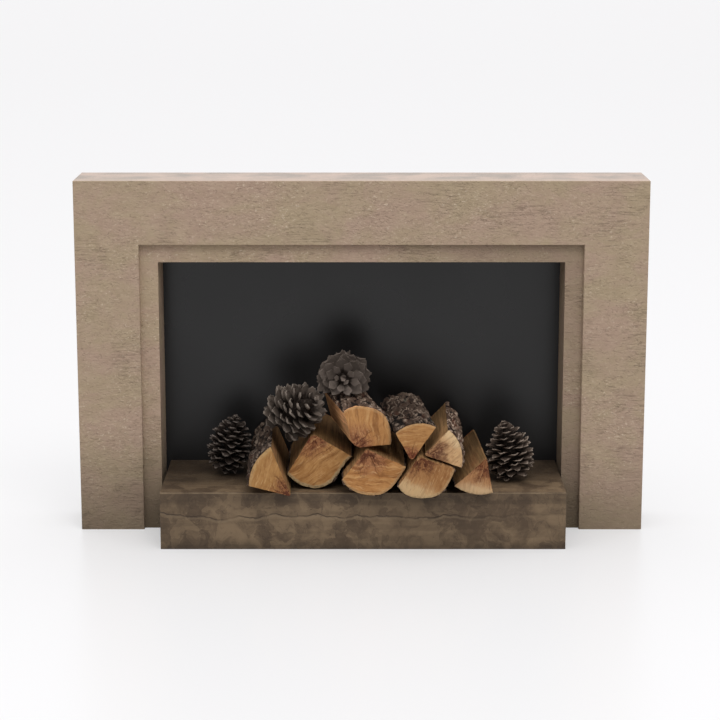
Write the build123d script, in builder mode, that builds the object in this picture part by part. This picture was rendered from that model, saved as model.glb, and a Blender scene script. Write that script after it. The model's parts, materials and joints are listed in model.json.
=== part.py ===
from build123d import *
import os
from dataclasses import dataclass
from math import cos, radians, sin

# A 1:12 dolls' house fireplace: a stone-finished surround with an inset slip, a dark back
# panel, a raised hearth slab, eight split logs and four pine cones.
#
# Millimetres. +X is to the viewer's right, +Y goes into the wall and +Z is up, so the front
# faces -Y. The origin is on the floor, midway between the outer faces of the jambs, and
# midway between the wall and the front end of the log that stands out furthest.

# --- Driving dimensions -------------------------------------------------------------------

surround_width = 117.0
surround_height = 73.2
surround_depth = 14.4
face_width = 13.1           # breadth of each jamb and height of the lintel
edge_softening = 0.2        # rounding of the surround's outer edges

slip_width = 3.75           # breadth of the inner slip on its three sides
slip_setback = 1.2          # from the surround's face back to the slip's face

back_panel_thickness = 2.2

wall_y = 16.9               # the wall plane, which the whole surround stands against

dowel_diameter = 2.0
dowel_length = 8.0
dowel_spacing = 6.0         # between the two dowels in one jamb
dowel_hole_clearance = 0.05  # on the radius, filled with glue
dowel_end_clearance = 0.2   # left at each end of the hole for glue

hearth_width = 82.0
hearth_height = 11.8
hearth_projection = 14.3    # how far the slab stands out in front of the surround
hearth_shift = 0.3          # the slab stands this far right of centre between the slips
hearth_edge_softening = 0.12

bark_thickness = 0.45

cone_base_share = 0.42      # radius of a cone's flat base over its largest radius
cone_tip_share = 0.2        # radius of a cone's blunt tip over its largest radius

# --- Derived dimensions -------------------------------------------------------------------

lintel_underside = surround_height - face_width
jamb_inner_x = surround_width / 2 - face_width
opening_half_width = jamb_inner_x - slip_width
surround_front = wall_y - surround_depth
slip_front = surround_front + slip_setback
panel_front = wall_y - back_panel_thickness
hearth_front = surround_front - hearth_projection
dowel_x = surround_width / 2 - face_width / 2
surround_middle = wall_y - surround_depth / 2

os.makedirs("parts", exist_ok=True)


def keep(part, name):
    """Label a finished piece and write it as its own node."""
    part.label = name
    export_step(part, f"parts/{name}.step")


# --- Surround -----------------------------------------------------------------------------


def dowel_holes(z, depth_direction, x):
    """Blind holes for the two dowels of one jamb, in the jamb-to-lintel joint at height z."""
    hole_plane = Plane((x, surround_middle, z), x_dir=(1, 0, 0), z_dir=(0, 0, depth_direction))
    with BuildSketch(hole_plane) as holes:
        with GridLocations(1, dowel_spacing, 1, 2):
            Circle(dowel_diameter / 2 + dowel_hole_clearance)
    extrude(holes.sketch, amount=dowel_length / 2 + dowel_end_clearance, mode=Mode.SUBTRACT)


def make_jamb(name, side):
    """An upright of the surround. side is -1 for the left and 1 for the right."""
    centre_x = side * (surround_width / 2 - face_width / 2)
    with BuildPart() as jamb:
        with BuildSketch(Plane.XY):
            with Locations((centre_x, surround_middle)):
                Rectangle(face_width, surround_depth)
        extrude(amount=lintel_underside)
        front_edges = jamb.edges().filter_by(Axis.Z).group_by(Axis.Y)[0]
        fillet(front_edges, edge_softening)
        dowel_holes(lintel_underside, -1, side * dowel_x)
    keep(jamb.part, name)


make_jamb("jamb_left", -1)
make_jamb("jamb_right", 1)

with BuildPart() as lintel:
    with BuildSketch(Plane.XY.offset(lintel_underside)):
        with Locations((0, surround_middle)):
            Rectangle(surround_width, surround_depth)
    extrude(amount=face_width)
    # The underside stays square, because it meets the jambs and the slip.
    fillet(lintel.edges().filter_by(Axis.Z).group_by(Axis.Y)[0], edge_softening)
    fillet(lintel.faces().sort_by(Axis.Z)[-1].edges(), edge_softening)
    for dowel_side in (-1, 1):
        dowel_holes(lintel_underside, 1, dowel_side * dowel_x)
keep(lintel.part, "lintel")

with BuildPart() as joint_dowels:
    with BuildSketch(Plane.XY.offset(lintel_underside - dowel_length / 2)):
        with Locations((0, surround_middle)):
            with GridLocations(2 * dowel_x, dowel_spacing, 2, 2):
                Circle(dowel_diameter / 2)
    extrude(amount=dowel_length)
keep(joint_dowels.part, "joint_dowels")


# --- Slip, back panel and hearth ----------------------------------------------------------


def make_upright_slip(name, side):
    """A strip glued to a jamb's inner side, running back to the panel."""
    centre_x = side * (jamb_inner_x - slip_width / 2)
    with BuildPart() as slip:
        with BuildSketch(Plane.XY):
            with Locations((centre_x, (slip_front + panel_front) / 2)):
                Rectangle(slip_width, panel_front - slip_front)
        extrude(amount=lintel_underside)
    keep(slip.part, name)


make_upright_slip("slip_left", -1)
make_upright_slip("slip_right", 1)

with BuildPart() as slip_top:
    with BuildSketch(Plane.XY.offset(lintel_underside - slip_width)):
        with Locations((0, (slip_front + panel_front) / 2)):
            Rectangle(2 * opening_half_width, panel_front - slip_front)
    extrude(amount=slip_width)
keep(slip_top.part, "slip_top")

with BuildPart() as back_panel:
    with BuildSketch(Plane.XY):
        with Locations((0, wall_y - back_panel_thickness / 2)):
            Rectangle(2 * jamb_inner_x, back_panel_thickness)
    extrude(amount=lintel_underside)
keep(back_panel.part, "back_panel")

with BuildPart() as hearth_slab:
    with BuildSketch(Plane.XY):
        with Locations((hearth_shift, (hearth_front + panel_front) / 2)):
            Rectangle(hearth_width, panel_front - hearth_front)
    extrude(amount=hearth_height)
    fillet(hearth_slab.edges().filter_by(Axis.Z).group_by(Axis.Y)[0], hearth_edge_softening)
    fillet(hearth_slab.faces().sort_by(Axis.Z)[-1].edges().group_by(Axis.Y)[0], hearth_edge_softening)
keep(hearth_slab.part, "hearth_slab")


# --- Split logs ---------------------------------------------------------------------------


@dataclass
class SplitLog:
    """A wedge split from a round billet, described by its front end.

    Points are (x, height above the hearth). Two flat split faces run from the pith edge to
    the first and last points of the bark, which curves smoothly through its other points.
    yaw swings the front to the right and pitch tips it down, both in degrees about the
    pith's front end.
    """

    name: str
    pith: tuple
    bark: tuple
    front: float
    length: float = 25.4
    yaw: float = 0.0
    pitch: float = 0.0

    def plane(self):
        """The plane of the front end, with its origin on the pith and its normal outwards."""
        yaw, pitch = radians(self.yaw), radians(self.pitch)
        origin = (self.pith[0], self.front, hearth_height + self.pith[1])
        outwards = (sin(yaw) * cos(pitch), -cos(yaw) * cos(pitch), -sin(pitch))
        return Plane(origin, x_dir=(cos(yaw), sin(yaw), 0), z_dir=outwards)

    def outline(self, inset):
        """The bark's points measured from the pith, each moved in towards it by inset."""
        spokes = [Vector(x - self.pith[0], height - self.pith[1]) for x, height in self.bark]
        return [spoke - spoke.normalized() * inset for spoke in spokes]


# The pile, from the hearth up. The lower five lie on the slab and overhang its front edge.
LOGS = (
    SplitLog("log_far_left", (-14.05, 0.08), ((-22.95, 2.25), (-21.55, 7.30), (-18.15, 10.75)),
             front=-15.0, length=28.8, yaw=1.2),
    SplitLog("log_left", (-9.95, 11.75), ((-15.25, 3.30), (-12.55, 0.95), (-9.00, 0.12), (-6.50, 1.05),
             (-4.60, 3.20), (-1.60, 6.98)), front=-9.6, length=23.8),
    SplitLog("log_centre", (1.00, 9.82), ((-4.10, 3.50), (-2.00, 1.20), (1.60, 0.10), (4.30, 0.45),
             (6.20, 1.85), (9.05, 6.20)), front=-14.7),
    SplitLog("log_right", (11.35, 8.83), ((7.15, 2.65), (9.30, 0.60), (12.50, 0.12), (15.40, 0.85),
             (17.45, 3.30), (18.75, 6.25)), front=-16.9),
    SplitLog("log_far_right", (25.03, 7.90), ((18.40, 2.10), (20.55, 0.85), (23.40, 0.15), (26.45, 0.55)),
             front=-14.2, yaw=2.7),
    SplitLog("log_top_left", (-1.60, 9.98), ((-3.85, 17.75), (-1.60, 18.80), (1.40, 18.50), (4.75, 16.75),
             (6.25, 13.30), (6.44, 10.12)), front=-14.6, length=18.4, yaw=14.0, pitch=3.2),
    SplitLog("log_top_middle", (9.95, 7.40), ((6.45, 13.50), (8.30, 14.80), (11.70, 15.55), (15.15, 14.55)),
             front=-15.5, yaw=6.2, pitch=1.0),
    SplitLog("log_top_right", (12.35, 8.76), ((17.40, 14.20), (19.45, 11.80), (20.40, 7.70), (20.15, 5.95)),
             front=-15.5, yaw=-1.0),
)


def make_log(log):
    """The wood of a split log, and the bark on its round side."""
    outside = log.outline(0)
    inside = log.outline(bark_thickness)

    with BuildPart() as wood:
        with BuildSketch(log.plane()):
            with BuildLine():
                Spline(inside)
                Polyline(inside[-1], (0, 0), inside[0])
            make_face()
        extrude(amount=-log.length)
    keep(wood.part, f"{log.name}_wood")

    with BuildPart() as bark:
        with BuildSketch(log.plane()):
            with BuildLine():
                Spline(outside)
                Spline(inside)
                Line(outside[0], inside[0])
                Line(outside[-1], inside[-1])
            make_face()
        extrude(amount=-log.length)
    keep(bark.part, f"{log.name}_bark")


for split_log in LOGS:
    make_log(split_log)


# --- Pine cones ---------------------------------------------------------------------------


def make_cone(name, base, axis, length, diameter, widest_share=0.38, rests_at=None):
    """A pine cone's outer form: rounded at its base and tapering to a blunt tip.

    base is the centre of its flat base and axis points from the base to the tip.
    widest_share is the height of its widest place over its length. rests_at is the height
    of a flat worn on the underside of a cone that lies on its side.
    """
    radius = diameter / 2
    base_rim = (radius * cone_base_share, 0)
    tip_rim = (radius * cone_tip_share, length)
    widest = (radius, widest_share * length)
    foot = Plane(base, z_dir=axis)
    profile = Plane(base, x_dir=foot.x_dir, z_dir=-foot.y_dir)
    with BuildPart() as cone:
        with BuildSketch(profile):
            with BuildLine():
                Polyline(tip_rim, (0, length), (0, 0), base_rim)
                TangentArc(widest, base_rim, tangent=(0, -1))
                TangentArc(widest, tip_rim, tangent=(0, 1))
            make_face()
        revolve(axis=Axis(base, axis))
        if rests_at is not None:
            split(bisect_by=Plane.XY.offset(rests_at), keep=Keep.TOP)
    keep(cone.part, name)


# Two cones stand on the hearth, one sits in the valley between the two left-hand logs, and
# one lies along the upper left log with its tip to the front.
make_cone("cone_left", (-29.2, 3.3, 12.40), (0.20, -0.05, 1.0), 12.4, 10.0, widest_share=0.50)
make_cone("cone_right", (31.5, -1.3, 12.40), (-0.20, -0.10, 1.0), 12.4, 10.4)
make_cone("cone_upper", (-17.0, -3.5, 24.9), (0.656, -0.549, 0.516), 11.3, 10.4)
make_cone("cone_top", (-3.45, -0.3, 33.2), (0.0, -1.0, 0.2), 10.0, 10.4, rests_at=31.55)
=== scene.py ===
"""A 1:12 fireplace: stone surround, dark panel, marble hearth, split logs and pine cones.

Everything is placed in metres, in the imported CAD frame, and most sizes are written in mm. The
stone, the panel, the slab and the dowels keep their CAD meshes and get better materials. The
logs, their bark and the cones are new meshes built on the CAD nodes that they replace, so they
follow them if the part changes.
"""

import json
import random
from collections import Counter
from dataclasses import dataclass
from math import cos, exp, hypot, inf, pi, radians, sin, sqrt

import bmesh
import bpy
import numpy as np
from mathutils import Matrix, Vector, noise
from mathutils.bvhtree import BVHTree

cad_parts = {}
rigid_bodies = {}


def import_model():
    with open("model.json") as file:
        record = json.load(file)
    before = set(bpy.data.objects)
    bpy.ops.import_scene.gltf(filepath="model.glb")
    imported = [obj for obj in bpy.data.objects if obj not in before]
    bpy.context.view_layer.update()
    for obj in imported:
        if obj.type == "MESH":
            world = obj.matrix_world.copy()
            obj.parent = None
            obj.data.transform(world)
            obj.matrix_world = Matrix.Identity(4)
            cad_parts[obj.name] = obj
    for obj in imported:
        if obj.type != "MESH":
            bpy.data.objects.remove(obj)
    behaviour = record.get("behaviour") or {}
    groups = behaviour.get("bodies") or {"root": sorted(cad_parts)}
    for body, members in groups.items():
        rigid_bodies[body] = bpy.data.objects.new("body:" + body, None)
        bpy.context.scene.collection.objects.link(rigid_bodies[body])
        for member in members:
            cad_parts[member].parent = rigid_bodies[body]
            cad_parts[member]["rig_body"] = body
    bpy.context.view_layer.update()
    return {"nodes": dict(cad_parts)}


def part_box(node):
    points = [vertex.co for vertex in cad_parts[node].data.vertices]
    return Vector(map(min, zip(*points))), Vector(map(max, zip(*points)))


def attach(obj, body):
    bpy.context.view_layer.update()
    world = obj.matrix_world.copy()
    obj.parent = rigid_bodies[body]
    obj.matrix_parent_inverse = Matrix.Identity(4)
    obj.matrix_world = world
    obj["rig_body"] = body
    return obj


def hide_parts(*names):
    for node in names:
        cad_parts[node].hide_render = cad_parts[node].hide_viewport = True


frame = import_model()

MM = 0.001  # one millimetre, in metres


# --- Shader helpers ---


def srgb(red, green, blue):
    """A display colour, 0 to 255, as the linear RGBA that a shader wants."""
    linear = [
        c / 12.92 if c <= 0.04045 else ((c + 0.055) / 1.055) ** 2.4
        for c in (red / 255, green / 255, blue / 255)
    ]
    return (*linear, 1.0)


class Shade:
    """A material while it is built. Most calls add nodes and return an output socket.

    colour is the base colour so far, which mix() starts, and paint() and tint() go over.
    """

    def __init__(self, name):
        self.material = bpy.data.materials.new(name)
        self.material.use_nodes = True
        self.tree = self.material.node_tree
        self.tree.nodes.clear()
        output = self.tree.nodes.new("ShaderNodeOutputMaterial")
        self.surface = self.tree.nodes.new("ShaderNodeBsdfPrincipled")
        self.tree.links.new(self.surface.outputs[0], output.inputs["Surface"])

    def put(self, socket, value):
        """Link value to a socket if it is one itself, or else set it."""
        if isinstance(value, bpy.types.NodeSocket):
            self.tree.links.new(value, socket)
        else:
            socket.default_value = value

    def node(self, kind, inputs, output=0, **settings):
        """Add a node with these inputs, by name or number, and return one of its outputs."""
        made = self.tree.nodes.new(kind)
        for name, value in settings.items():
            setattr(made, name, value)
        for name, value in inputs.items():
            self.put(made.inputs[name], value)
        return made.outputs[output]

    def place(self, stretch=(1.0, 1.0, 1.0)):
        """Object coordinates in millimetres, each axis times its stretch."""
        coordinates = self.node("ShaderNodeTexCoord", {}, output="Object")
        scale = tuple(s / MM for s in stretch)
        return self.vector_math("MULTIPLY", coordinates, scale)

    def axes(self, vector):
        return tuple(self.node("ShaderNodeSeparateXYZ", {0: vector}).node.outputs)

    def vector(self, x, y, z):
        return self.node("ShaderNodeCombineXYZ", {0: x, 1: y, 2: z})

    def vector_math(self, operation, a, b):
        return self.node("ShaderNodeVectorMath", {0: a, 1: b}, operation=operation)

    def math(self, operation, a, b=0.0):
        return self.node("ShaderNodeMath", {0: a, 1: b}, operation=operation)

    def times(self, a, b):
        return self.math("MULTIPLY", a, b)

    def plus(self, a, b):
        return self.math("ADD", a, b)

    def sway(self, value, amount):
        """A value from 0 to 1 as a shift of up to half of amount each way."""
        return self.times(self.plus(value, -0.5), amount)

    def gap(self, value, centre):
        """How far value is from centre."""
        return self.math("ABSOLUTE", self.plus(value, -centre))

    def noise(self, vector, scale, detail=2, rough=0.5, distortion=0.0):
        inputs = {"Vector": vector, "Scale": scale, "Detail": detail, "Roughness": rough}
        return self.node("ShaderNodeTexNoise", {**inputs, "Distortion": distortion})

    def warped(self, vector, scale, amount):
        """vector moved about by a noise, by up to amount each way."""
        wobble = self.node("ShaderNodeTexNoise", {"Vector": vector, "Scale": scale}, output=1)
        centred = self.vector_math("SUBTRACT", wobble, (0.5, 0.5, 0.5))
        inputs = {0: centred, "Scale": 2 * amount}
        shift = self.node("ShaderNodeVectorMath", inputs, operation="SCALE")
        return self.vector_math("ADD", vector, shift)

    def cells(self, vector, scale):
        """Irregular cells, each of one random colour."""
        inputs = {"Vector": vector, "Scale": scale}
        return self.node("ShaderNodeTexVoronoi", inputs, output="Color")

    def step(self, value, low, high, at_low=0.0, at_high=1.0):
        """A smooth step: at_low below low, and at_high above high."""
        inputs = {"Value": value, "From Min": low, "From Max": high}
        inputs |= {"To Min": at_low, "To Max": at_high}
        return self.node("ShaderNodeMapRange", inputs, interpolation_type="SMOOTHSTEP")

    def mix(self, factor, a, b):
        """From a to b by factor. Each is a socket or a display colour, (red, green, blue)."""
        a, b = (c if isinstance(c, bpy.types.NodeSocket) else srgb(*c) for c in (a, b))
        return self.node("ShaderNodeMix", {0: factor, 6: a, 7: b}, output=2, data_type="RGBA")

    def paint(self, factor, over):
        """Mix the material's colour so far towards over."""
        self.colour = self.mix(factor, self.colour, over)

    def tint(self, value, low, high, strength, over):
        """Mix the colour towards over, by up to strength, as value goes from low to high."""
        self.paint(self.step(value, low, high, 0.0, strength), over)

    def attribute(self, name):
        return self.node("ShaderNodeAttribute", {}, output="Fac", attribute_name=name)

    def bump(self, height, distance, strength):
        inputs = {"Strength": strength, "Distance": distance * MM, "Height": height}
        return self.node("ShaderNodeBump", inputs)

    def finish(self, roughness, normal, specular=0.5):
        values = {"Base Color": self.colour, "Roughness": roughness, "Normal": normal}
        for name, value in {**values, "Specular IOR Level": specular}.items():
            self.put(self.surface.inputs[name], value)
        return self.material


# --- Stone, panel, marble and dowel materials ---


def stone_material(name, olive, pink, offset, painted_shade_top, painted_shade_foot, painted_shade_share, lean, painted_shade_right=0.0):
    """Cast stone: soft clouds, fine pits and flecks, with painted light on the faces that look up
    and painted shade towards the bottom.

    Painted shade darkens it towards the bottom, from nothing at the first height given to its
    full share at the second, in mm, and lean is how much lower it lies for each mm to the right.
    The last argument is how much painted shade darkens the right-hand side.
    """
    s = Shade(name)
    place = s.vector_math("ADD", s.place(), offset)
    streaked = s.vector_math("MULTIPLY", place, (0.75, 1.0, 1.2))
    clouds = s.noise(streaked, 0.11, detail=7, rough=0.68, distortion=0.4)
    s.colour = s.mix(s.step(clouds, 0.34, 0.66), olive, pink)
    mottle = s.noise(streaked, 0.42, detail=4, rough=0.66)
    s.tint(mottle, 0.52, 0.36, 0.12, (132, 112, 88))
    s.tint(mottle, 0.5, 0.66, 0.12, (196, 178, 152))

    patches = s.step(s.noise(place, 0.13, detail=3), 0.4, 0.6)
    grain = s.noise(s.warped(streaked, 1.0, 0.4), 2.2, rough=0.6)
    pits = s.step(grain, 0.42, 0.3)
    flecks = s.step(grain, 0.6, 0.7)
    wear = s.plus(s.times(patches, 0.6), 0.4)
    s.paint(s.times(s.times(pits, wear), 0.26), (112, 92, 70))
    s.paint(s.times(s.times(flecks, wear), 0.5), (216, 200, 176))

    layers = s.vector_math("MULTIPLY", place, (0.1, 0.1, 1.5))
    fissure = s.gap(s.noise(layers, 1.0, detail=3, rough=0.6), 0.5)
    fissure = s.times(s.step(fissure, 0.012, 0.003), s.step(s.noise(place, 0.08), 0.54, 0.6))
    s.paint(s.times(fissure, 0.3), (118, 98, 76))

    x, depth, height = s.axes(s.place())
    # Painted light: faces that look up are paler and pinker, most of all near the front.
    facing = s.node("ShaderNodeTexCoord", {}, output="Normal")
    upwards = s.step(s.axes(facing)[2], 0.5, 0.9)
    top_light_patches = s.noise(place, 0.14, detail=4, rough=0.55)
    painted_top_light = s.mix(s.step(top_light_patches, 0.34, 0.68), (158, 150, 143), (188, 171, 160))
    painted_top_light = s.mix(s.step(depth, 7.5, 3.2, 0.0, 0.6), painted_top_light, (190, 172, 158))
    s.paint(s.times(upwards, 0.9), painted_top_light)

    # Painted shade: darker towards the bottom, and lower on the right by lean.
    rise = s.plus(height, s.sway(s.noise(place, 0.1), 7.0))
    rise = s.plus(rise, s.times(x, lean))
    s.tint(rise, painted_shade_top, painted_shade_foot, painted_shade_share, (90, 78, 60))
    # Painted shade: the right-hand side darker, standing in for the right jamb's shadow.
    if painted_shade_right > 0:
        s.tint(x, -10.0, 38.0, painted_shade_right, (84, 72, 56))

    crinkle = s.noise(s.warped(streaked, 0.9, 0.5), 1.35, detail=3, rough=0.6)
    relief = s.plus(s.times(s.times(crinkle, wear), 1.2), s.times(grain, 0.3))
    relief = s.math("SUBTRACT", relief, s.times(s.plus(pits, fissure), 0.25))
    roughness = s.step(grain, 0.3, 0.7, 0.62, 0.82)
    return s.finish(roughness, s.bump(relief, 0.25, 0.8), specular=0.35)


def panel_material():
    """Charcoal paint with a soft sheen, duller towards the hearth, and a faint roller texture."""
    s = Shade("panel_paint")
    place = s.place()
    clouds = s.noise(place, 0.06, detail=3)
    s.colour = s.mix(clouds, (9, 8, 8), (14, 13, 13))
    dapple = s.noise(place, 3.0)
    dull = s.step(s.axes(place)[2], 44.0, 14.0, 0.0, 0.1)
    roughness = s.plus(s.step(clouds, 0.3, 0.7, 0.26, 0.31), dull)
    return s.finish(roughness, s.bump(dapple, 0.02, 0.15), specular=0.44)


def marble_material():
    """Honed dark brown marble: soft cloudy patches, a long wavy crack, flecks, a worn edge with a
    painted highlight, and painted shade along the bottom and towards the back.
    """
    hearth_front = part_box("hearth_slab")[0].y / MM
    hearth_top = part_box("hearth_slab")[1].z / MM
    s = Shade("hearth_marble")
    place = s.place()
    x, y, z = s.axes(place)
    bent = s.warped(place, 0.22, 2.6)
    broken = s.warped(bent, 1.1, 0.7)
    tone = s.axes(s.cells(broken, 0.19))[0]
    second = s.axes(s.cells(broken, 0.38))[1]
    clouds = s.noise(bent, 0.17, detail=7, rough=0.66)
    patch = s.plus(s.plus(s.times(tone, 0.13), s.times(second, 0.12)), s.times(clouds, 0.75))
    s.colour = s.mix(s.step(patch, 0.36, 0.64), (84, 68, 52), (126, 106, 82))
    fine = s.noise(broken, 1.5, detail=5, rough=0.7)
    s.tint(fine, 0.42, 0.28, 0.5, (56, 43, 31))
    s.tint(fine, 0.6, 0.76, 0.38, (142, 125, 102))
    lines = s.noise(s.vector(s.times(x, 0.06), s.times(y, 0.9), s.times(z, 0.9)), 1.0, detail=4)
    s.tint(lines, 0.5, 0.36, 0.22, (54, 42, 30))

    along = s.vector(s.plus(x, s.times(y, 0.6)), 0.0, 0.0)
    broad = s.sway(s.noise(along, 0.05, detail=1), 3.5)
    small = s.sway(s.noise(along, 0.15, detail=4, rough=0.46), 4.2)
    wander = s.plus(s.plus(broad, small), 6.9)
    offset = s.math("SUBTRACT", z, wander)
    reach = s.step(x, 32.0, 14.0, 0.25, 1.0)
    worn = s.step(s.noise(along, 0.16, detail=3), 0.36, 0.58, 0.3, 0.95)
    crack = s.step(s.math("ABSOLUTE", offset), 0.22, 0.03)
    crack = s.times(s.times(crack, reach), worn)
    below_crack = s.gap(offset, -0.42)
    lip = s.times(s.step(below_crack, 0.35, 0.05), s.times(reach, 0.35))
    s.paint(lip, (134, 116, 92))
    veins = s.gap(s.noise(bent, 0.11, detail=4, rough=0.6), 0.5)
    veins = s.step(veins, 0.008, 0.001, 0.0, 0.35)
    marks = s.math("MAXIMUM", crack, veins)
    s.paint(s.times(marks, 0.78), (44, 32, 22))

    # Painted shade: darker along the bottom, next to the floor.
    floor_shade = s.plus(z, s.sway(s.noise(place, 0.5, detail=3), 2.5))
    s.tint(floor_shade, 2.6, -0.8, 0.7, (44, 34, 24))
    brow = s.times(s.step(z, 8.8, 10.6, 0.0, 0.3), s.step(y, -11.0, -11.7))
    s.paint(brow, (58, 46, 34))
    # Painted shade: darker towards the back, inside the opening.
    away = s.math("SUBTRACT", s.plus(y, s.times(clouds, 4.0)), s.times(x, 0.06))
    s.tint(away, -8.5, 4.5, 0.7, (40, 31, 22))
    s.tint(s.gap(x, 5.0), 30.0, 46.0, 0.22, (50, 40, 30))
    # The front top edge is paler: worn, and with a painted highlight along it.
    below = s.gap(z, hearth_top)
    behind = s.gap(y, hearth_front)
    edge = s.step(s.math("MAXIMUM", below, behind), 0.34, 0.12)
    edge = s.times(edge, s.step(s.noise(along, 0.2, detail=3), 0.36, 0.6, 0.1, 0.55))
    s.paint(edge, (140, 121, 96))

    relief = s.math("SUBTRACT", s.times(fine, 0.25), s.times(marks, 0.9))
    roughness = s.step(fine, 0.3, 0.7, 0.48, 0.64)
    return s.finish(roughness, s.bump(relief, 0.12, 0.7), specular=0.32)


def dowel_material():
    """Turned beech: pale, with fine lines along the dowel."""
    s = Shade("dowel_wood")
    lines = s.noise(s.place((4.0, 4.0, 0.25)), 1.0, detail=4, rough=0.6)
    s.colour = s.mix(s.step(lines, 0.35, 0.65), (196, 158, 108), (222, 190, 144))
    return s.finish(0.6, s.bump(lines, 0.05, 0.4))


# --- Log materials ---


@dataclass
class Look:
    """How one log's end grain and split faces look. Sizes are in mm, angles in degrees."""

    light: tuple
    deep: tuple
    pale: tuple
    halo: tuple           # the pinkish stain about the heart
    halo_size: float
    heart: tuple          # the dark blotches at the pith
    heart_size: float
    pale_towards: float   # which side turns pale, 270 being down
    pale_from: float      # how far out that way it starts
    saw_angle: float      # the way the streaks run
    saw: float            # how strong they are
    bend: float           # how far they wander
    blunt: float          # how far the pith edge is worn back
    rays: float = 0.3     # how strong the rays are
    rim: float = 0.25     # how strong the ragged rim next to the bark is
    rim_colour: tuple = (196, 168, 126)
    flare: float = 0.4    # how far the end spreads over the bark's thickness
    ragged: float = 0.25  # how uneven the rim is
    split_tint: tuple = (160, 122, 80)
    split_shade: tuple = (116, 84, 52)
    bark: float = 1.0     # how light the bark is
    checks: int = 2       # how many cracks run out from the pith


def end_grain_material(name, look, seed):
    """The sawn end of a log: long streaks, rays, a pink halo, dark heart blotches and a rim."""
    s = Shade(name)
    x, y, _ = s.axes(s.place())
    flat = s.vector(x, y, seed)
    bend = s.plus(s.noise(flat, 0.16, detail=3), -0.5)
    distance = s.math("SQRT", s.plus(s.times(x, x), s.times(y, y)))
    radius = s.plus(distance, s.times(bend, 3.0))
    safe = s.math("MAXIMUM", distance, 0.2)
    around = s.vector(s.math("DIVIDE", x, safe), s.math("DIVIDE", y, safe), s.times(distance, 0.06))
    rays = s.noise(around, 9.0, detail=4, rough=0.65)

    angle = radians(look.saw_angle)
    along = s.plus(s.times(x, cos(angle)), s.times(y, sin(angle)))
    across = s.plus(s.times(x, -sin(angle)), s.times(y, cos(angle)))
    across = s.plus(across, s.times(bend, look.bend * 2))
    streaks = s.vector(s.times(along, 0.1), s.times(across, 1.25), seed)
    sawn = s.noise(streaks, 1.0, detail=4, rough=0.65)
    threads = s.vector(s.times(along, 0.42), s.times(across, 3.2), seed)
    fibre = s.noise(threads, 1.0, detail=3, rough=0.6)
    clouds = s.noise(flat, 0.3, detail=4, rough=0.6)

    rayed = s.times(s.step(rays, 0.4, 0.66), look.rays)
    shade = s.plus(rayed, s.times(s.step(clouds, 0.36, 0.66), 0.45))
    s.colour = s.mix(shade, look.light, look.deep)
    side = radians(look.pale_towards)
    out = s.plus(s.times(x, cos(side)), s.times(y, sin(side)))
    out = s.plus(out, s.sway(clouds, 6.0))
    out = s.plus(out, s.sway(rays, 3.0))
    s.tint(out, look.pale_from, look.pale_from + 2.8, 0.92, look.pale)

    blotch = s.noise(flat, 0.5, detail=5, rough=0.68)
    stain = s.plus(radius, s.sway(rays, 4.0))
    stain = s.plus(stain, s.sway(blotch, 6.0))
    s.tint(stain, look.halo_size * 1.25, look.halo_size * 0.55, 0.78, look.halo)

    s.tint(sawn, 0.5, 0.34, look.saw * 0.62, (116, 70, 34))
    s.tint(sawn, 0.52, 0.68, look.saw * 0.5, (216, 172, 116))
    s.tint(fibre, 0.44, 0.3, 0.52, (112, 68, 36))
    s.tint(fibre, 0.54, 0.72, 0.38, (222, 184, 134))

    spots = s.step(s.noise(s.warped(flat, 1.2, 0.5), 1.05, detail=5, rough=0.7), 0.45, 0.52)
    core = s.step(stain, look.heart_size * 1.7, look.heart_size * 0.6)
    core = s.times(core, s.plus(s.times(spots, 0.8), 0.1))
    s.paint(core, look.heart)
    hairline = s.gap(s.noise(around, 2.6, detail=3, rough=0.6), 0.5)
    reach = s.step(distance, look.halo_size * 1.5, look.halo_size * 0.8, 0.0, 0.55)
    s.paint(s.times(s.step(hairline, 0.016, 0.003), reach), (92, 44, 28))

    spoke = s.plus(s.attribute("spoke"), s.sway(s.noise(flat, 1.1, detail=4), 0.1))
    s.tint(spoke, 0.915, 0.965, look.rim, look.rim_colour)
    flecks = s.step(s.noise(flat, 1.9, detail=3), 0.5, 0.58, 0.0, look.rim)
    s.paint(s.times(s.step(spoke, 0.94, 0.98), flecks), (96, 74, 48))
    s.paint(s.times(s.attribute("check"), 0.5), (84, 40, 25))

    relief = s.plus(s.times(sawn, 0.6), s.times(fibre, 0.5))
    roughness = s.step(clouds, 0.3, 0.7, 0.66, 0.8)
    return s.finish(roughness, s.bump(relief, 0.16, 0.6), specular=0.25)


def split_material(name, tint, shade, seed):
    """The split side of a log: long fibres, olive and brown weathering, and painted shade
    towards the back.
    """
    s = Shade(name)
    fibres = s.noise(s.place((2.2, 2.2, 0.09)), 1.0, detail=5, rough=0.64)
    x, y, z = s.axes(s.place((0.35, 0.35, 0.1)))
    clouds = s.noise(s.vector(s.plus(x, seed), y, z), 1.0, detail=4, rough=0.6)
    s.colour = s.mix(s.step(fibres, 0.36, 0.64), tint, shade)
    s.tint(clouds, 0.44, 0.64, 0.5, (94, 76, 46))
    s.tint(clouds, 0.44, 0.3, 0.4, (146, 90, 56))
    # Painted shade: darker towards the back of the log.
    back = s.plus(s.axes(s.place())[2], s.sway(clouds, 8.0))
    s.tint(back, -2.5, -16.0, 0.44, (48, 34, 20))
    return s.finish(0.74, s.bump(fibres, 0.18, 0.7), specular=0.25)


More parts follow.
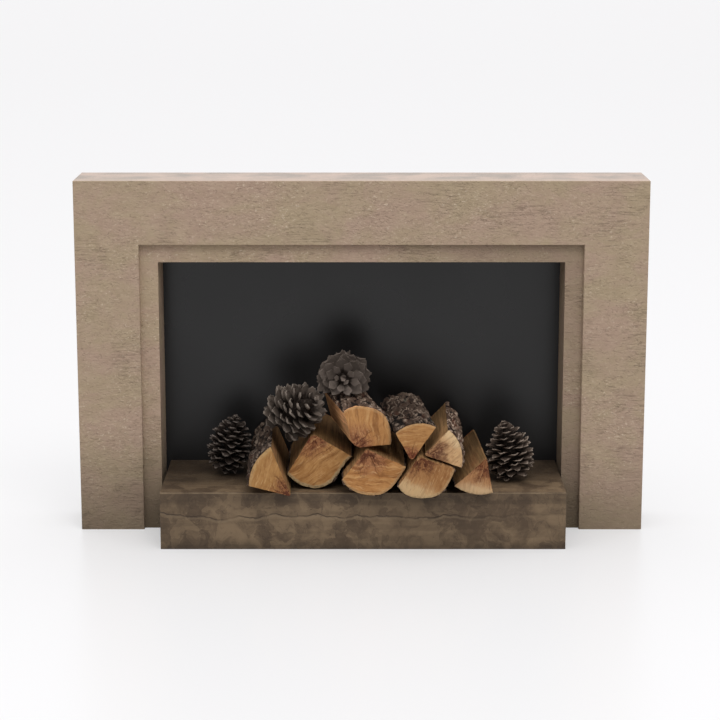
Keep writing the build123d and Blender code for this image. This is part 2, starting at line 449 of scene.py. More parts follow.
def bark_material(name, seed, light):
    """Bark: dark cracks, brown plates with pale flaky edges, and a little lichen."""
    s = Shade(name)

    def tone(*colour):
        return tuple(c * light for c in colour)

    relief = s.attribute("relief")
    flake = s.attribute("flake")
    place = s.place((1.0, 1.0, 0.3))
    shifted = s.vector_math("ADD", place, (seed, 0.0, 0.0))
    patches = s.noise(shifted, 0.26, detail=4, rough=0.6)
    fine = s.noise(shifted, 0.95, detail=3, rough=0.58)
    s.colour = s.mix(s.step(patches, 0.4, 0.6), tone(66, 50, 40), tone(96, 79, 67))
    s.tint(fine, 0.48, 0.36, 0.7, tone(36, 24, 18))
    curls = s.gap(s.noise(s.warped(shifted, 0.5, 1.1), 0.42), 0.5)
    curls = s.times(s.step(curls, 0.026, 0.004), s.step(relief, 0.3, 0.55))
    s.paint(s.times(curls, 0.72), tone(172, 152, 134))
    edges = s.times(flake, s.step(fine, 0.46, 0.56))
    s.paint(s.times(edges, 0.75), tone(168, 148, 130))
    s.paint(s.step(relief, 0.48, 0.22), tone(24, 16, 12))
    s.tint(s.noise(shifted, 0.5, detail=3), 0.56, 0.66, 0.45, tone(84, 48, 32))
    lichen = s.times(s.step(patches, 0.58, 0.66), s.step(fine, 0.5, 0.6, 0.0, 0.35))
    s.paint(lichen, tone(152, 146, 128))
    return s.finish(0.88, s.bump(fine, 0.24, 0.9), specular=0.2)


def cone_material(name, cone):
    """Dry cone scales: dark inside, grey-brown outside, with paler worn tips."""
    s = Shade(name)
    along = s.attribute("along")
    tone = s.attribute("tone")
    fine = s.noise(s.place(), 1.8, detail=4, rough=0.65)
    reach = s.plus(along, s.sway(fine, 0.25))
    s.colour = s.mix(s.step(reach, cone.dark_to, cone.light_from), (32, 24, 19), cone.shade)
    s.tint(reach, 0.88, 1.0, 0.8, cone.worn)
    s.paint(s.times(tone, 0.4), (48, 39, 32))
    s.tint(fine, 0.56, 0.72, 0.25, cone.worn)
    return s.finish(0.8, s.bump(fine, 0.12, 0.7), specular=0.2)


# --- Mesh helpers ---


def add_object(name, data):
    """A new object in the scene."""
    made = bpy.data.objects.new(name, data)
    bpy.context.scene.collection.objects.link(made)
    return made


def new_piece(name, body, matrix, vertices, faces, attributes, materials, kinds=None):
    """A mesh object at matrix, its vertices in local metres, riding on a CAD body.

    kinds holds each face's index in materials, where there is more than one.
    """
    mesh = bpy.data.meshes.new(name)
    mesh.from_pydata([tuple(v) for v in vertices], [], faces)
    for key, values in attributes.items():
        layer = mesh.attributes.new(key, "FLOAT", "POINT")
        layer.data.foreach_set("value", np.asarray(values, np.float32))
    for material in materials:
        mesh.materials.append(material)
    if kinds is not None:
        mesh.polygons.foreach_set("material_index", kinds)
    tidy = bmesh.new()
    tidy.from_mesh(mesh)
    bmesh.ops.recalc_face_normals(tidy, faces=tidy.faces)
    tidy.to_mesh(mesh)
    tidy.free()
    mesh.update()
    piece = add_object(name, mesh)
    piece.matrix_world = matrix
    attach(piece, body)
    return piece


def smooth(piece, angle):
    """Shade smooth, but keep edges sharper than angle in degrees."""
    piece.data.shade_smooth()
    piece.data.set_sharp_from_angle(angle=radians(angle))


def ease(value, low, high):
    """A smooth step in Python."""
    t = min(1.0, max(0.0, (value - low) / (high - low)))
    return t * t * (3 - 2 * t)


def around_ring(ring):
    """Each item of a closed ring with the one after it."""
    return zip(ring, ring[1:] + ring[:1])


def grid_border(columns, rows):
    """The corners round a grid of this many columns and rows, in order."""
    border = [(j, 0) for j in range(columns)]
    border += [(columns, k) for k in range(rows)]
    border += [(j, rows) for j in range(columns, 0, -1)]
    return border + [(0, k) for k in range(rows, 0, -1)]


def distances(line):
    """How far along a polyline each of its points is."""
    return np.concatenate([[0], np.cumsum(np.hypot(*np.diff(line, axis=0).T))])


# --- Logs ---

FRONT_FACING = -0.9       # a polygon whose normal has less y than this is a log's front end
GRID_ALONG = 0.42         # mesh spacing along a log, mm
GRID_ACROSS = 0.26        # mesh spacing across a log's end
BARK_GRID = 0.24          # mesh spacing on the bark, where its relief needs it
FLARE_BACK = 1.5          # how far behind the front end its spread starts
SAW_RIDGES = radians(35)  # the way the fine ridges run on every sawn end
BARK_THICKNESS = 0.45
BARK_OFF = 0.015          # between the bark's inside and the wood
BARK_PROUD = 0.55         # how far plates may stand out of the CAD bark where nothing is near
BARK_SIGHT = 6.0          # how far out from the wood other pieces are looked for
BARK_GAP = 0.12           # what the bark leaves free before the nearest other piece


def node_vertices(node):
    return np.array([v.co for v in frame["nodes"][node].data.vertices], float)


def front_outline(node):
    """The corners of a CAD log's front end, in order round it, and the end's normal."""
    mesh = frame["nodes"][node].data
    ends = [p for p in mesh.polygons if p.normal.y < FRONT_FACING]
    normal = sum((p.normal * p.area for p in ends), Vector()).normalized()

    uses = Counter()
    for p in ends:
        ring = [tuple(round(c, 7) for c in mesh.vertices[v].co) for v in p.vertices]
        for a, b in around_ring(ring):
            uses[frozenset((a, b))] += 1
    beside = {}
    for a, b in (edge for edge, count in uses.items() if count == 1):
        beside.setdefault(a, []).append(b)
        beside.setdefault(b, []).append(a)
    start = min(beside)
    outline, last = [start], None
    while True:
        here = outline[-1]
        following = [c for c in beside[here] if c != last]
        if following[0] == start:
            break
        last = here
        outline.append(following[0])
    return [Vector(c) for c in outline], normal


class Log:
    """A split log's own frame and outline, measured from its CAD nodes.

    Its origin is the pith's front end, x is to the right, y is up and z comes out of the
    front end. arc holds the wood's round side as (x, y) in mm, anticlockwise.
    """

    def __init__(self, name):
        self.name = name
        outline, normal = front_outline(f"{name}_wood")
        bark = front_outline(f"{name}_bark")[0]
        clear = [min((c - b).length for b in bark) for c in outline]
        first = clear.index(max(clear))
        outline = outline[first:] + outline[:first]
        pith = outline[0]
        right = (-normal).cross(Vector((0, 0, 1))).normalized()
        up = normal.cross(right)
        self.matrix = Matrix.Translation(pith) @ Matrix((right, up, normal)).transposed().to_4x4()
        local = self.matrix.inverted()
        points = [local @ c for c in outline[1:]]
        corners = np.array([(p.x, p.y) for p in points]) / MM
        turn = corners[0][0] * corners[-1][1] - corners[0][1] * corners[-1][0]
        if turn < 0:
            corners = corners[::-1]
        self.arc = self.spaced(corners, GRID_ACROSS)
        inside = np.array([local @ Vector(v) for v in node_vertices(f"{name}_wood")])
        self.length = -inside[:, 2].min() / MM
        self.seed = sum(ord(c) * (i + 1) for i, c in enumerate(name)) % 97

    @staticmethod
    def spaced(corners, step):
        """Points at even steps along a polyline."""
        reach = distances(corners)
        count = int(round(reach[-1] / step)) + 1
        at = np.linspace(0, reach[-1], count)
        return np.stack([np.interp(at, reach, corners[:, i]) for i in (0, 1)], axis=1)


class Checks:
    """The radial cracks in a log's end: thin grooves that run out from near the pith."""

    def __init__(self, log, count, reach):
        draw = random.Random(log.seed)
        first, last = log.arc[0], log.arc[-1]
        low = np.arctan2(first[1], first[0])
        span = (np.arctan2(last[1], last[0]) - low) % (2 * pi)
        self.cracks = [
            (
                low + span * (0.1 + 0.8 * (k + draw.random()) / count),
                draw.uniform(0.4, 1.4),
                reach * draw.uniform(0.7, 1.4),
                draw.uniform(0.06, 0.1),
            )
            for k in range(count)
        ]

    def at(self, x, y):
        """How deep in a crack a point is, from 0 to 1."""
        deepest = 0.0
        distance = hypot(x, y)
        for angle, start, end, width in self.cracks:
            wander = 0.16 * noise.noise((distance * 0.8, angle * 3.0, 0.0))
            off = x * -sin(angle + wander) + y * cos(angle + wander)
            ahead = x * cos(angle) + y * sin(angle)
            if ahead <= 0:
                continue
            ends = ease(ahead, start, start + 0.6) * ease(ahead, end, end - 1.2)
            deepest = max(deepest, ends * exp(-((off / width) ** 2)))
        return deepest


def make_wood(log, look, checks, end_material, side_material):
    """A wedge of wood as one closed mesh, which spreads over the bark's thickness in front.

    It has two sawn ends, two split faces, a worn pith edge and the round side under the bark.
    """
    arc, seed = log.arc, log.seed
    around = len(arc) - 1
    out = int(round(np.hypot(*arc.T).max() / GRID_ACROSS))
    back = int(round(log.length / GRID_ALONG))
    first_side = Vector(arc[0]).normalized()
    last_side = Vector(arc[-1]).normalized()
    first_normal = Vector((first_side.y, -first_side.x))
    last_normal = Vector((-last_side.y, last_side.x))

    index, vertices, spokes, depths = {}, [], [], []

    def fibre(spoke, z, side):
        """How far a split face is worn in, in mm."""
        run = spoke * 12 + side * 31 + seed
        broad = noise.noise((run * 0.25, z * 0.07, 0.0))
        strand = noise.noise((run * 1.6, z * 0.1, 3.0))
        fine = noise.noise((run * 4.2, z * 0.22, 7.0))
        return 0.14 + 0.1 * broad + 0.07 * strand + 0.03 * fine

    def worn_tip(j, z):
        """The pith edge, worn round between the two split faces."""
        share = j / around
        worn = look.blunt * (1 + 0.45 * noise.noise((z * 0.22, seed, 11.0)))
        middle = (first_side * worn).lerp(last_side * worn, share)
        return middle * (1 - 0.22 * sin(pi * share))

    def vertex(i, j, k):
        """The vertex i steps out from the pith, j round the bark side and k back."""
        if (i, j, k) in index:
            return index[i, j, k]
        spoke = i / out
        z = -log.length * k / back
        tip = worn_tip(j, z)
        uneven = 1 - look.ragged * (0.5 + 0.5 * noise.fractal((j * 0.22, seed, 5.0), 0.8, 2.0, 3))
        spread = look.flare * uneven * ease(-z, FLARE_BACK, 0.4)
        reach = 1 + spread / hypot(*arc[j])
        x = tip.x * (1 - spoke) + arc[j][0] * spoke * reach
        y = tip.y * (1 - spoke) + arc[j][1] * spoke * reach
        depth = checks.at(x, y) if k == 0 else 0.0
        if k in (0, back):
            ridge = x * -sin(SAW_RIDGES) + y * cos(SAW_RIDGES)
            wear = 0.07 + 0.05 * noise.noise((x * 0.4, y * 0.4, seed + k))
            wear += 0.035 * noise.noise((ridge * 2.4, (x + y) * 0.15, seed + k))
            wear += 0.1 * ease(spoke, 0.94, 1.0) + 0.16 * depth
            z += wear if k else -wear
        if j in (0, around):
            side, face = (0, first_normal) if j == 0 else (1, last_normal)
            worn = fibre(spoke, z, side)
            x -= face.x * worn
            y -= face.y * worn
        if i == out:
            worn = 0.03 + 0.05 * abs(noise.noise((x * 0.8, y * 0.8, z * 0.5)))
            shrink = 1 - worn / max(hypot(x, y), 1.0)
            x, y = x * shrink, y * shrink
        index[i, j, k] = len(vertices)
        vertices.append((x * MM, y * MM, z * MM))
        spokes.append(spoke)
        depths.append(depth)
        return index[i, j, k]

    faces, kinds = [], []

    def add(corners, kind):
        faces.append([vertex(*c) for c in corners])
        kinds.append(kind)

    for i in range(out):
        for j in range(around):
            for k in (0, back):
                add([(i, j, k), (i + 1, j, k), (i + 1, j + 1, k), (i, j + 1, k)], 0)
        for k in range(back):
            for j in (0, around):
                add([(i, j, k), (i + 1, j, k), (i + 1, j, k + 1), (i, j, k + 1)], 1)
    for j in range(around):
        for k in range(back):
            for i in (0, out):
                add([(i, j, k), (i, j + 1, k), (i, j + 1, k + 1), (i, j, k + 1)], 1)
    attributes = {"spoke": spokes, "check": depths}
    materials = [end_material, side_material]
    piece = new_piece(
        f"{log.name}_split_wood", log.name, log.matrix, vertices, faces, attributes,
        materials, kinds,
    )
    smooth(piece, 38)
    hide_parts(f"{log.name}_wood")


def others_than(body, built=()):
    """A search tree of every CAD node that isn't on this body, and of the pieces already built."""
    vertices, polygons = [], []
    for solid in [*frame["nodes"].values(), *built]:
        if solid["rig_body"] == body:
            continue
        offset = len(vertices)
        vertices += [solid.matrix_world @ v.co for v in solid.data.vertices]
        polygons += [[offset + v for v in p.vertices] for p in solid.data.polygons]
    return BVHTree.FromPolygons(vertices, polygons)


def bark_relief(u, z, seed):
    """The bark at u round the log and z along it: its height in mm, and how flaky it is."""
    warp = 0.9 * noise.noise((u * 0.45, z * 0.25, seed))
    place = (u * 0.52 + warp, z * 0.24 + warp, seed * 0.37)
    spots, _ = noise.voronoi(place, distance_metric="DISTANCE", exponent=2.5)
    gap = spots[1] - spots[0]
    plate = ease(gap, 0.03, 0.26)
    rough = noise.fractal((u * 0.9, z * 0.4, seed + 5), 0.9, 2.1, 3)
    layer = 0.5 + 0.5 * noise.noise((u * 0.5 + 9, z * 0.3, seed))
    ledge = 0.18 * ease(noise.noise((u * 0.9, z * 0.35, seed + 17)), 0.05, 0.12)
    height = 0.1 + plate * (0.26 + 0.28 * layer + ledge) + 0.2 * rough
    edge = ease(gap, 0.05, 0.12) * ease(gap, 0.26, 0.14)
    flake = edge * ease(noise.noise((u * 0.8, z * 0.5, seed + 23)), -0.15, 0.25)
    return height, flake


def make_bark(log, material, room):
    """The bark as a closed shell over the wood's round side, with plates, cracks and torn edges."""
    arc = log.spaced(log.arc, BARK_GRID)
    reach = distances(arc)
    tangent = np.gradient(arc, axis=0)
    normals = np.stack([tangent[:, 1], -tangent[:, 0]], axis=1)
    normals /= np.hypot(*normals.T)[:, None]
    around = len(arc) - 1
    back = int(round(log.length / BARK_GRID))
    seed = log.seed
    turn = log.matrix.to_3x3()
    vertices, relief, flakes = [], [], []
    outer, inner = {}, {}
    for j in range(around + 1):
        u = reach[j]
        torn = 0.3 + 0.5 * abs(noise.fractal((u * 0.9, seed, 2.0), 1.0, 2.0, 3))
        edge = min(u, reach[-1] - u)
        for k in range(back + 1):
            share = k / back
            z = -torn - share * (log.length - torn - 0.3)
            chipped = 0.1 * noise.noise((z * 0.9, seed, 4.0 + (j > around / 2)))
            base = arc[j]
            point = log.matrix @ Vector((*base * MM, z * MM))
            outwards = turn @ Vector((*normals[j], 0))
            hit = room.ray_cast(point + outwards * 0.05 * MM, outwards, BARK_SIGHT * MM)
            free = BARK_SIGHT if hit[3] is None else hit[3] / MM
            top = BARK_THICKNESS - 0.02 + BARK_PROUD * ease(free, 1.2, 3.2)
            nearest = room.find_nearest(point)[3] / MM
            top = min(top, max(0.1, min(free, nearest) - BARK_GAP))
            height, flake = bark_relief(u, z, seed)
            height = min(top, max(0.06, height))
            tone = min(1.0, height / 0.62)
            height *= ease(edge + chipped, -0.25, 0.55) * 0.75 + 0.25
            inner[j, k] = len(vertices)
            vertices.append((base + normals[j] * BARK_OFF, z))
            relief.append(0.4)
            flakes.append(0.0)
            if j in (0, around) or k in (0, back):
                height *= 0.72
            outer[j, k] = len(vertices)
            vertices.append((base + normals[j] * height, z))
            relief.append(tone)
            flakes.append(flake)
    faces = []
    for j in range(around):
        for k in range(back):
            ring = [(j, k), (j + 1, k), (j + 1, k + 1), (j, k + 1)]
            faces.append([outer[c] for c in ring])
            faces.append([inner[c] for c in reversed(ring)])
    for a, b in around_ring(grid_border(around, back)):
        faces.append([outer[a], inner[a], inner[b], outer[b]])
    points = [(*p * MM, z * MM) for p, z in vertices]
    attributes = {"relief": relief, "flake": flakes}
    piece = new_piece(
        f"{log.name}_rough_bark", log.name, log.matrix, points, faces, attributes,
        [material],
    )
    smooth(piece, 50)
    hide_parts(f"{log.name}_bark")
    return piece


LOOKS = {
    "log_far_left": Look(
        (172, 128, 76), (148, 102, 56), (184, 148, 92), halo=(135, 87, 55), halo_size=4.4,
        heart=(78, 34, 20), heart_size=2.8, pale_towards=135, pale_from=9.0, saw_angle=72, saw=0.5,
        bend=1.0, blunt=0.5, flare=0.1, bark=0.78,
    ),
    "log_left": Look(
        (184, 138, 84), (150, 100, 52), (186, 150, 98), halo=(146, 94, 64), halo_size=4.8,
        heart=(86, 40, 22), heart_size=3.2, pale_towards=210, pale_from=8.5, saw_angle=36, saw=1.0,
        bend=1.4, rim=0.62, rim_colour=(182, 168, 132), blunt=0.9, ragged=0.8,
    ),
    "log_centre": Look(
        (184, 132, 78), (156, 103, 56), (204, 160, 110), halo=(158, 106, 74), halo_size=5.0,
        heart=(74, 32, 14), heart_size=2.6, pale_towards=205, pale_from=6.5, saw_angle=-3, saw=0.95,
        bend=2.2, blunt=0.5, rim=0.35, ragged=0.4, checks=3,
    ),
    "log_right": Look(
        (170, 124, 78), (144, 98, 56), (200, 168, 124), halo=(130, 84, 50), halo_size=3.8,
        heart=(78, 36, 16), heart_size=2.8, pale_towards=238, pale_from=3.4, saw_angle=72, saw=0.4,
        bend=1.2, rays=0.6, blunt=0.6, rim=0.35, checks=3,
    ),
    "log_far_right": Look(
        (178, 132, 90), (154, 106, 66), (200, 168, 128), halo=(126, 77, 47), halo_size=4.4,
        heart=(76, 34, 18), heart_size=3.2, pale_towards=262, pale_from=4.6, saw_angle=84, saw=0.35,
        bend=1.0, rays=0.5, blunt=0.5, rim=0.35,
    ),
    # The top left log's split faces are painted lighter, as painted light from the left.
    "log_top_left": Look(
        (188, 136, 82), (162, 110, 64), (184, 154, 104), halo=(160, 106, 72), halo_size=4.4,
        heart=(84, 38, 22), heart_size=2.5, pale_towards=-8, pale_from=6.2, saw_angle=97, saw=0.85,
        bend=1.6, blunt=1.3, flare=0.22, split_tint=(244, 184, 130),
        split_shade=(204, 146, 98), checks=4,
    ),
    "log_top_middle": Look(
        (178, 130, 78), (156, 106, 60), (190, 148, 92), halo=(150, 98, 64), halo_size=3.2,
        heart=(104, 48, 30), heart_size=2.2, pale_towards=90, pale_from=9.5, saw_angle=6, saw=0.6,
        bend=1.4, blunt=0.8, flare=0.12, bark=0.84,
    ),
    "log_top_right": Look(
        (206, 168, 122), (182, 138, 96), (220, 190, 146), halo=(136, 94, 64), halo_size=4.4,
        heart=(78, 42, 30), heart_size=3.1, pale_towards=50, pale_from=4.5, saw_angle=50, saw=0.5,
        bend=0.8, rays=0.55, blunt=0.5, flare=0.2, split_tint=(176, 136, 92),
        split_shade=(130, 98, 62), bark=1.12,
    ),
}


# --- Pine cones ---

GOLDEN_ANGLE = pi * (3 - sqrt(5))


@dataclass
class Cone:
    """One cone's axis, from base to tip as in the CAD, and how its scales are set."""

    node: str
    axis: tuple
    scales: int
    width: float             # of the widest scales, mm
    thickness: float
    low_angle: float         # of the lowest scales over the horizontal, in degrees
    high_angle: float        # of the highest ones
    point: float             # how pointed the scale tips are, 0 to 1
    turn: float              # start of the spiral, in degrees
    grow: float              # size of the visual cone over the CAD envelope
    shift: tuple             # of its middle from the CAD envelope's, mm
    shade: tuple             # colour of the scales' outer halves
    worn: tuple              # colour of their tips
    crowd: float             # how much closer the scales stand at the tip, mm
    curl: float              # how far a scale's end turns up, over its length
    cup: float               # how far a scale's sides turn up, over its width
    taper: float = 0.6       # how much thinner a scale is at its edge, 0 to 1
    dark_to: float = 0.35    # share of a scale's length that stays dark
    light_from: float = 0.85
    uneven: float = 8.0      # spread of the scales' angles, in degrees
    core: float = 0.3        # radius of the core over the cone's
    peak: float = 0.0        # how much narrower the top is than the CAD envelope, 0 to 1
    broad_base: float = 0.0  # how much broader the lowest scales are, 0 to 1
    full_base: float = 0.0   # how much further out the lowest scales reach, 0 to 1
    bud: float = 0.0         # how much narrower the last scales at the tip are, 0 to 1
    rosette: bool = False    # True if the scales are spaced to be seen from the tip


CONES = (
    Cone("cone_left", (0.2, -0.05, 1.0), 104, 2.2, 0.17, -32.0, 32.0, 0.5, 10.0,
         grow=1.0, shift=(0.8, 0.0, 0.0), shade=(62, 53, 47), worn=(132, 122, 114), uneven=19.0,
         peak=0.28, crowd=1.5, curl=0.09, cup=0.1),
    Cone("cone_right", (-0.2, -0.1, 1.0), 98, 2.4, 0.16, -26.0, 30.0, 0.55, 75.0,
         grow=1.01, shift=(-0.1, 0.0, 0.0), shade=(94, 80, 70), worn=(172, 157, 143), uneven=17.0,
         peak=0.22, crowd=1.5, curl=0.08, cup=0.08),
    Cone("cone_upper", (0.656, -0.549, 0.516), 88, 2.35, 0.4, -26.0, 34.0, 0.4, 40.0,
         grow=1.12, shift=(0.3, 0.0, -0.1), shade=(102, 91, 82), worn=(146, 135, 124), crowd=1.6,
         taper=0.45, light_from=0.7, curl=0.22, core=0.4, cup=0.05, broad_base=0.3,
         full_base=0.16, bud=0.3),
    Cone("cone_top", (0.0, -1.0, 0.2), 64, 3.4, 0.16, -6.0, 52.0, 0.85, 25.0,
         grow=1.14, shift=(-0.2, 0.0, -0.25), shade=(106, 95, 87), worn=(118, 107, 98), crowd=2.2,
         dark_to=0.15, light_from=0.45, curl=0.07, core=0.25, cup=0.02, bud=0.45, rosette=True),
)


ENVELOPE_RINGS = 25  # places along a CAD cone where its radius is measured


class Envelope:
    """A CAD cone's profile about its axis: radius against height over its base, in mm."""

    def __init__(self, cone):
        points = node_vertices(cone.node) / MM
        self.up = Vector(cone.axis).normalized()
        up = np.array(self.up)
        heights = points @ up
        length = heights.max() - heights.min()
        self.length = length * cone.grow
        tip = points[heights > heights.max() - 0.01].mean(axis=0)
        base = Vector(tip) - self.up * length
        self.side = self.up.cross(Vector((0.0, 0.0, 1.0))).normalized()
        self.front = self.up.cross(self.side)
        local = points - np.array(base)
        rise = local @ up
        radii = np.linalg.norm(local - np.outer(rise, up), axis=1)
        near = (rise.max() - rise.min()) / (ENVELOPE_RINGS + 1)
        at = np.linspace(0, rise.max(), ENVELOPE_RINGS)
        reach = [radii[abs(rise - h) < near].max(initial=0.0) for h in at]
        known = [(h, r) for h, r in zip(at, reach) if r > 0.05]
        self.at = np.array([h for h, _ in known]) * cone.grow
        self.radii = np.array([r for _, r in known]) * cone.grow
        extra = self.up * (self.length * (1 - 1 / cone.grow) / 2)
        self.base = base - extra + Vector(cone.shift)

    def radius(self, height):
        return float(np.interp(height, self.at, self.radii))

    def point(self, radial, tangent, height, angle):
        """The place at a radius, height and angle about the axis, in mm in the shared frame."""
        outwards = self.side * cos(angle) + self.front * sin(angle)
        sideways = self.front * cos(angle) - self.side * sin(angle)
        return self.base + outwards * radial + sideways * tangent + self.up * height


SCALE_STEPS = 9   # mesh steps along a scale
SCALE_ACROSS = 8  # and across it


def scale_sheets(cone, draw, length, width):
    """One scale as a top and an underside of (x out, y across, z up), and how far out each is."""
    top, bottom, along = [], [], []
    curl = cone.curl * draw.uniform(0.5, 1.3) * length
    lean = draw.uniform(-0.15, 0.15)
    ragged = [draw.uniform(-0.05, 0.05) for _ in range(SCALE_ACROSS + 1)]
    for i in range(SCALE_STEPS + 1):
        a = i / SCALE_STEPS
        half = width / 2 * (0.3 + 0.7 * ease(a, 0.0, 0.74))
        late = max(0.0, (a - 0.74) / 0.26)
        half *= 1 - late**2 * (0.3 + 0.45 * cone.point)
        thick = cone.thickness * (0.3 + 0.7 * ease(a, 0.35, 0.8))
        thick *= 1 - cone.taper * ease(a, 0.86, 1.0)
        for j in range(SCALE_ACROSS + 1):
            b = 2 * j / SCALE_ACROSS - 1
            rounding = (0.06 + 0.1 * cone.point) * b * b + ragged[j]
            x = length * (a - rounding * ease(a, 0.55, 1.0))
            y = half * b + lean * half * a
            keel = 0.6 * cone.cup * width * (1 - abs(b)) * ease(a, 0.7, 0.95)
            lift = curl * a**2.5 + cone.cup * width * b * b * ease(a, 0.1, 0.7) + keel * 0.5
            crown = 1 - 0.7 * b * b
            top.append((x, y, lift + 0.25 * thick * crown))
            bottom.append((x, y, lift - 0.75 * thick * crown - keel))
            along.append(a)
    return top, bottom, along


def scale_faces(offset):
    """The faces that join one scale's two sheets, its vertices starting at offset."""
    row = SCALE_ACROSS + 1
    count = row * (SCALE_STEPS + 1)
    faces = []
    for i in range(SCALE_STEPS):
        for j in range(SCALE_ACROSS):
            a = offset + i * row + j
            faces.append([a, a + 1, a + row + 1, a + row])
            faces.append([a + count, a + count + row, a + count + row + 1, a + count + 1])
    border = [i * row + j for j, i in grid_border(SCALE_ACROSS, SCALE_STEPS)]
    for a, b in around_ring(border):
        faces.append([offset + a, offset + a + count, offset + b + count, offset + b])
    return faces


CORE_SEGMENTS = 18
CORE_STEPS = 14
SHORTEST_SCALE, LONGEST_SCALE = 1.6, 4.6
CLEARANCE = 0.1  # between a cone's scales and the CAD or the bark of any other body, mm
TRIES = 9        # how often a scale in another body's way is pulled in before it is left out
PULL_IN = 0.93   # what each of those leaves of its reach


def make_cone(cone, material, room, floor):
    """A cone of separate curved scales set in a spiral on a core.

    room is the search tree of what is on other bodies. The cone stays over floor, a height.
    """
    shape = Envelope(cone)
    draw = random.Random(cone.scales * 7 + int(cone.turn))
    vertices, faces, along, tones = [], [], [], []
    heights = np.linspace(0, shape.length, 60)
    if cone.rosette:
        areas = np.array([shape.radius(h) ** 2 for h in heights])
        cover = np.cumsum(abs(np.gradient(areas)) + cone.crowd)
    else:
        cover = np.cumsum([shape.radius(h) + cone.crowd for h in heights])
    cover = (cover - cover[0]) / (cover[-1] - cover[0])

    def touches(points):
        """True if a point is inside another body's piece, or too close to it."""
        for p in points:
            place, normal, _, distance = room.find_nearest(p * MM)
            inside = (p * MM - place).dot(normal) < 0 and distance < 3 * MM
            if distance < CLEARANCE * MM or inside:
                return True
        return False

    for n in range(cone.scales):
        share = (n + 0.5) / cone.scales
        height = float(np.interp(share, cover, heights))
        angle = n * GOLDEN_ANGLE + radians(cone.turn) + draw.uniform(-0.1, 0.1)
        edge = shape.radius(height) * draw.uniform(0.9, 1.02)
        edge *= (1 - cone.peak * ease(share, 0.45, 1.0)) * (1 - 0.75 * ease(share, 0.9, 1.0))
        edge *= 1 + cone.full_base * ease(share, 0.5, 0.0)
        pitch = radians(cone.low_angle + (cone.high_angle - cone.low_angle) * share**0.9)
        pitch += radians(draw.uniform(-cone.uneven, cone.uneven))
        core = 0.22 * shape.radius(height)
        length = min(max((edge - core) / cos(pitch), SHORTEST_SCALE), LONGEST_SCALE)
        size = shape.radius(height) / max(shape.radii)
        width = cone.width * (0.38 + 0.62 * size) * draw.uniform(0.88, 1.12)
        width *= 1 + cone.broad_base * ease(share, 0.5, 0.1)
        width *= 1 - cone.bud * ease(share, 0.65, 1.0)
        top, bottom, steps = scale_sheets(cone, draw, length, width)
        for _ in range(TRIES):
            points = []
            for x, y, z in top + bottom:
                back = length - x
                radial = edge - back * cos(pitch) - z * sin(pitch)
                rise = height - back * sin(pitch) + z * cos(pitch)
                rise = min(max(rise, 0.05), shape.length)
                points.append(shape.point(radial, y, rise, angle))
            points = [Vector((p.x, p.y, max(p.z, floor))) for p in points]
            clear = not touches(points)
            if clear:
                break
            edge *= PULL_IN
        sunk = sum(p.z <= floor for p in points) > 0.5 * len(points)
        if sunk or not clear:
            continue
        faces += scale_faces(len(vertices))
        vertices += points
        along += steps + steps
        tones += [draw.random()] * (2 * len(steps))

    offset = len(vertices)
    for i in range(CORE_STEPS + 1):
        height = shape.length * (0.04 + 0.86 * i / CORE_STEPS)
        radius = cone.core * shape.radius(height) * (1 - 0.7 * (i / CORE_STEPS) ** 3)
        for j in range(CORE_SEGMENTS):
            point = shape.point(radius, 0.0, height, 2 * pi * j / CORE_SEGMENTS)
            point.z = max(point.z, floor)
            vertices.append(point)
            along.append(0.0)
            tones.append(1.0)
    for i in range(CORE_STEPS):
        for j in range(CORE_SEGMENTS):
            a = offset + i * CORE_SEGMENTS
            b = a + CORE_SEGMENTS
            k = (j + 1) % CORE_SEGMENTS
            faces.append([a + j, a + k, b + k, b + j])
    faces.append([offset + j for j in reversed(range(CORE_SEGMENTS))])
    faces.append([offset + CORE_STEPS * CORE_SEGMENTS + j for j in range(CORE_SEGMENTS)])

    middle = shape.base * MM
    local = [p * MM - middle for p in vertices]
    attributes = {"along": along, "tone": tones}
    piece = new_piece(
        f"{cone.node}_scales", cone.node, Matrix.Translation(middle), local, faces,
        attributes, [material],
    )
    smooth(piece, 45)
    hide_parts(cone.node)


# --- The object ---

surround = stone_material(
    "surround_stone", (170, 151, 124), (173, 148, 129), offset=(0.0, 0.0, 0.0),
    painted_shade_top=23.0, painted_shade_foot=-8.0, painted_shade_share=0.76, lean=0.06,
)
slips = stone_material(
    "slip_stone", (172, 152, 125), (175, 149, 130), offset=(31.0, 7.0, 4.0),
    painted_shade_top=28.0, painted_shade_foot=-1.0, painted_shade_share=0.92, lean=-0.005, painted_shade_right=0.32,
)
CAD_MATERIALS = {
    "jamb_left": surround,
    "jamb_right": surround,
    "lintel": surround,
    "slip_left": slips,
    "slip_right": slips,
    "slip_top": slips,
    "back_panel": panel_material(),
    "hearth_slab": marble_material(),
    "joint_dowels": dowel_material(),
}
for node, material in CAD_MATERIALS.items():
    slots = frame["nodes"][node].data.materials
    slots.clear()
    slots.append(material)

rough_barks = []
for number, (name, look) in enumerate(LOOKS.items()):
    log = Log(name)
    checks = Checks(log, look.checks, look.halo_size)
    end = end_grain_material(f"{name}_end_grain", look, number * 13.0)
    sides = split_material(f"{name}_split_face", look.split_tint, look.split_shade, number * 5.0)
    make_wood(log, look, checks, end, sides)
    bark = bark_material(f"{name}_bark", number * 7.0, look.bark)
    rough_barks.append(make_bark(log, bark, others_than(name)))

for cone in CONES:
    flat_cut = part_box("cone_top")[0].z / MM if cone.node == "cone_top" else -inf
    room = others_than(cone.node, rough_barks)
    make_cone(cone, cone_material(f"{cone.node}_scale", cone), room, flat_cut)


# --- Stage ---

# A sky that is brighter overhead, one soft lamp from above and a pale floor.

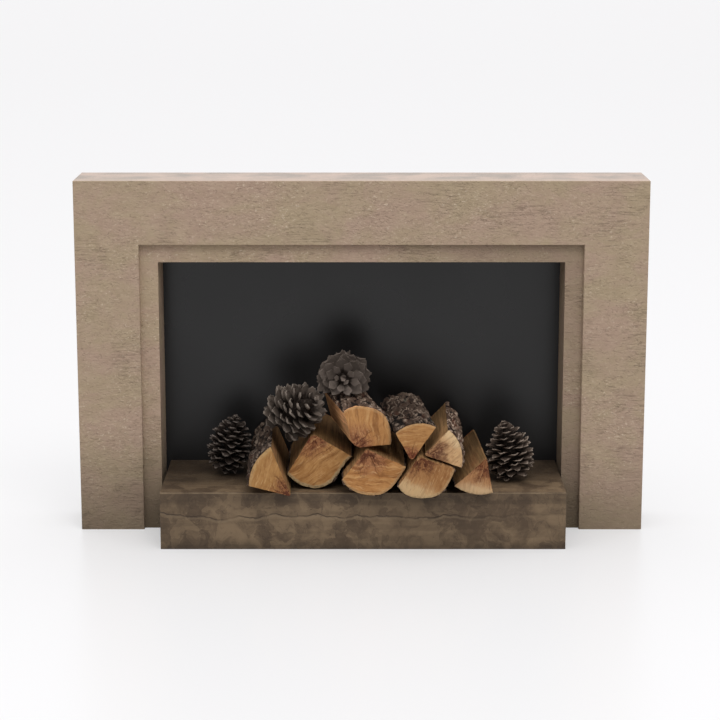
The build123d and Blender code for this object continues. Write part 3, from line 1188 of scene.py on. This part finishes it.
FLOOR_REACH = 6.0  # how far the floor runs each way, in metres
corners = [(x * FLOOR_REACH, y * FLOOR_REACH, 0) for x, y in ((-1, -1), (1, -1), (1, 1), (-1, 1))]
floor_mesh = bpy.data.meshes.new("floor")
floor_mesh.from_pydata(corners, [], [(0, 1, 2, 3)])
floor = add_object("floor", floor_mesh)
floor_look = Shade("floor_paint")
paint = floor_look.surface.inputs
paint["Base Color"].default_value = (0.42, 0.42, 0.425, 1.0)
paint["Roughness"].default_value = 0.3
paint["Specular IOR Level"].default_value = 0.16
paint["Emission Color"].default_value = (1.0, 1.0, 1.0, 1.0)
# The floor glows to the camera and in reflections, but doesn't light the object.
bounced = floor_look.node("ShaderNodeLightPath", {}, output="Is Diffuse Ray")
floor_look.put(paint["Emission Strength"], floor_look.step(bounced, 0.0, 1.0, 0.375, 0.0))
floor_mesh.materials.append(floor_look.material)

world = bpy.data.worlds.new("studio")
bpy.context.scene.world = world
world.use_nodes = True
sky = world.node_tree
background = sky.nodes["Background"]
direction = sky.nodes.new("ShaderNodeTexCoord")
parts = sky.nodes.new("ShaderNodeSeparateXYZ")
ramp = sky.nodes.new("ShaderNodeMapRange")
sky.links.new(direction.outputs["Generated"], parts.inputs[0])
sky.links.new(parts.outputs[2], ramp.inputs["Value"])
ramp.inputs["To Min"].default_value = 0.3
ramp.inputs["To Max"].default_value = 1.75
sky.links.new(ramp.outputs[0], background.inputs["Strength"])
background.inputs["Color"].default_value = (1.0, 0.99, 1.0, 1.0)

key_light = bpy.data.lights.new("key", "AREA")
key_light.shape = "DISK"
key_light.size = 0.4
key_light.energy = 1.7
key = add_object("key", key_light)
key.location = (0.16, -0.5, 0.75)
lit_point = Vector((0.0, 0.0, 0.03))
key.rotation_euler = (lit_point - key.location).to_track_quat("-Z", "Y").to_euler()

camera_data = bpy.data.cameras.new("camera")
camera_data.lens = 106.2
camera_data.sensor_width = 36.0
camera_data.clip_start = 0.01
camera = add_object("camera", camera_data)
camera.location = (-0.00032, -0.4254, 0.1251)
degrees_down = 11.74
camera.rotation_euler = (radians(90 - degrees_down), 0.0, 0.0)
bpy.context.scene.camera = camera
bpy.context.scene.view_settings.view_transform = "Standard"
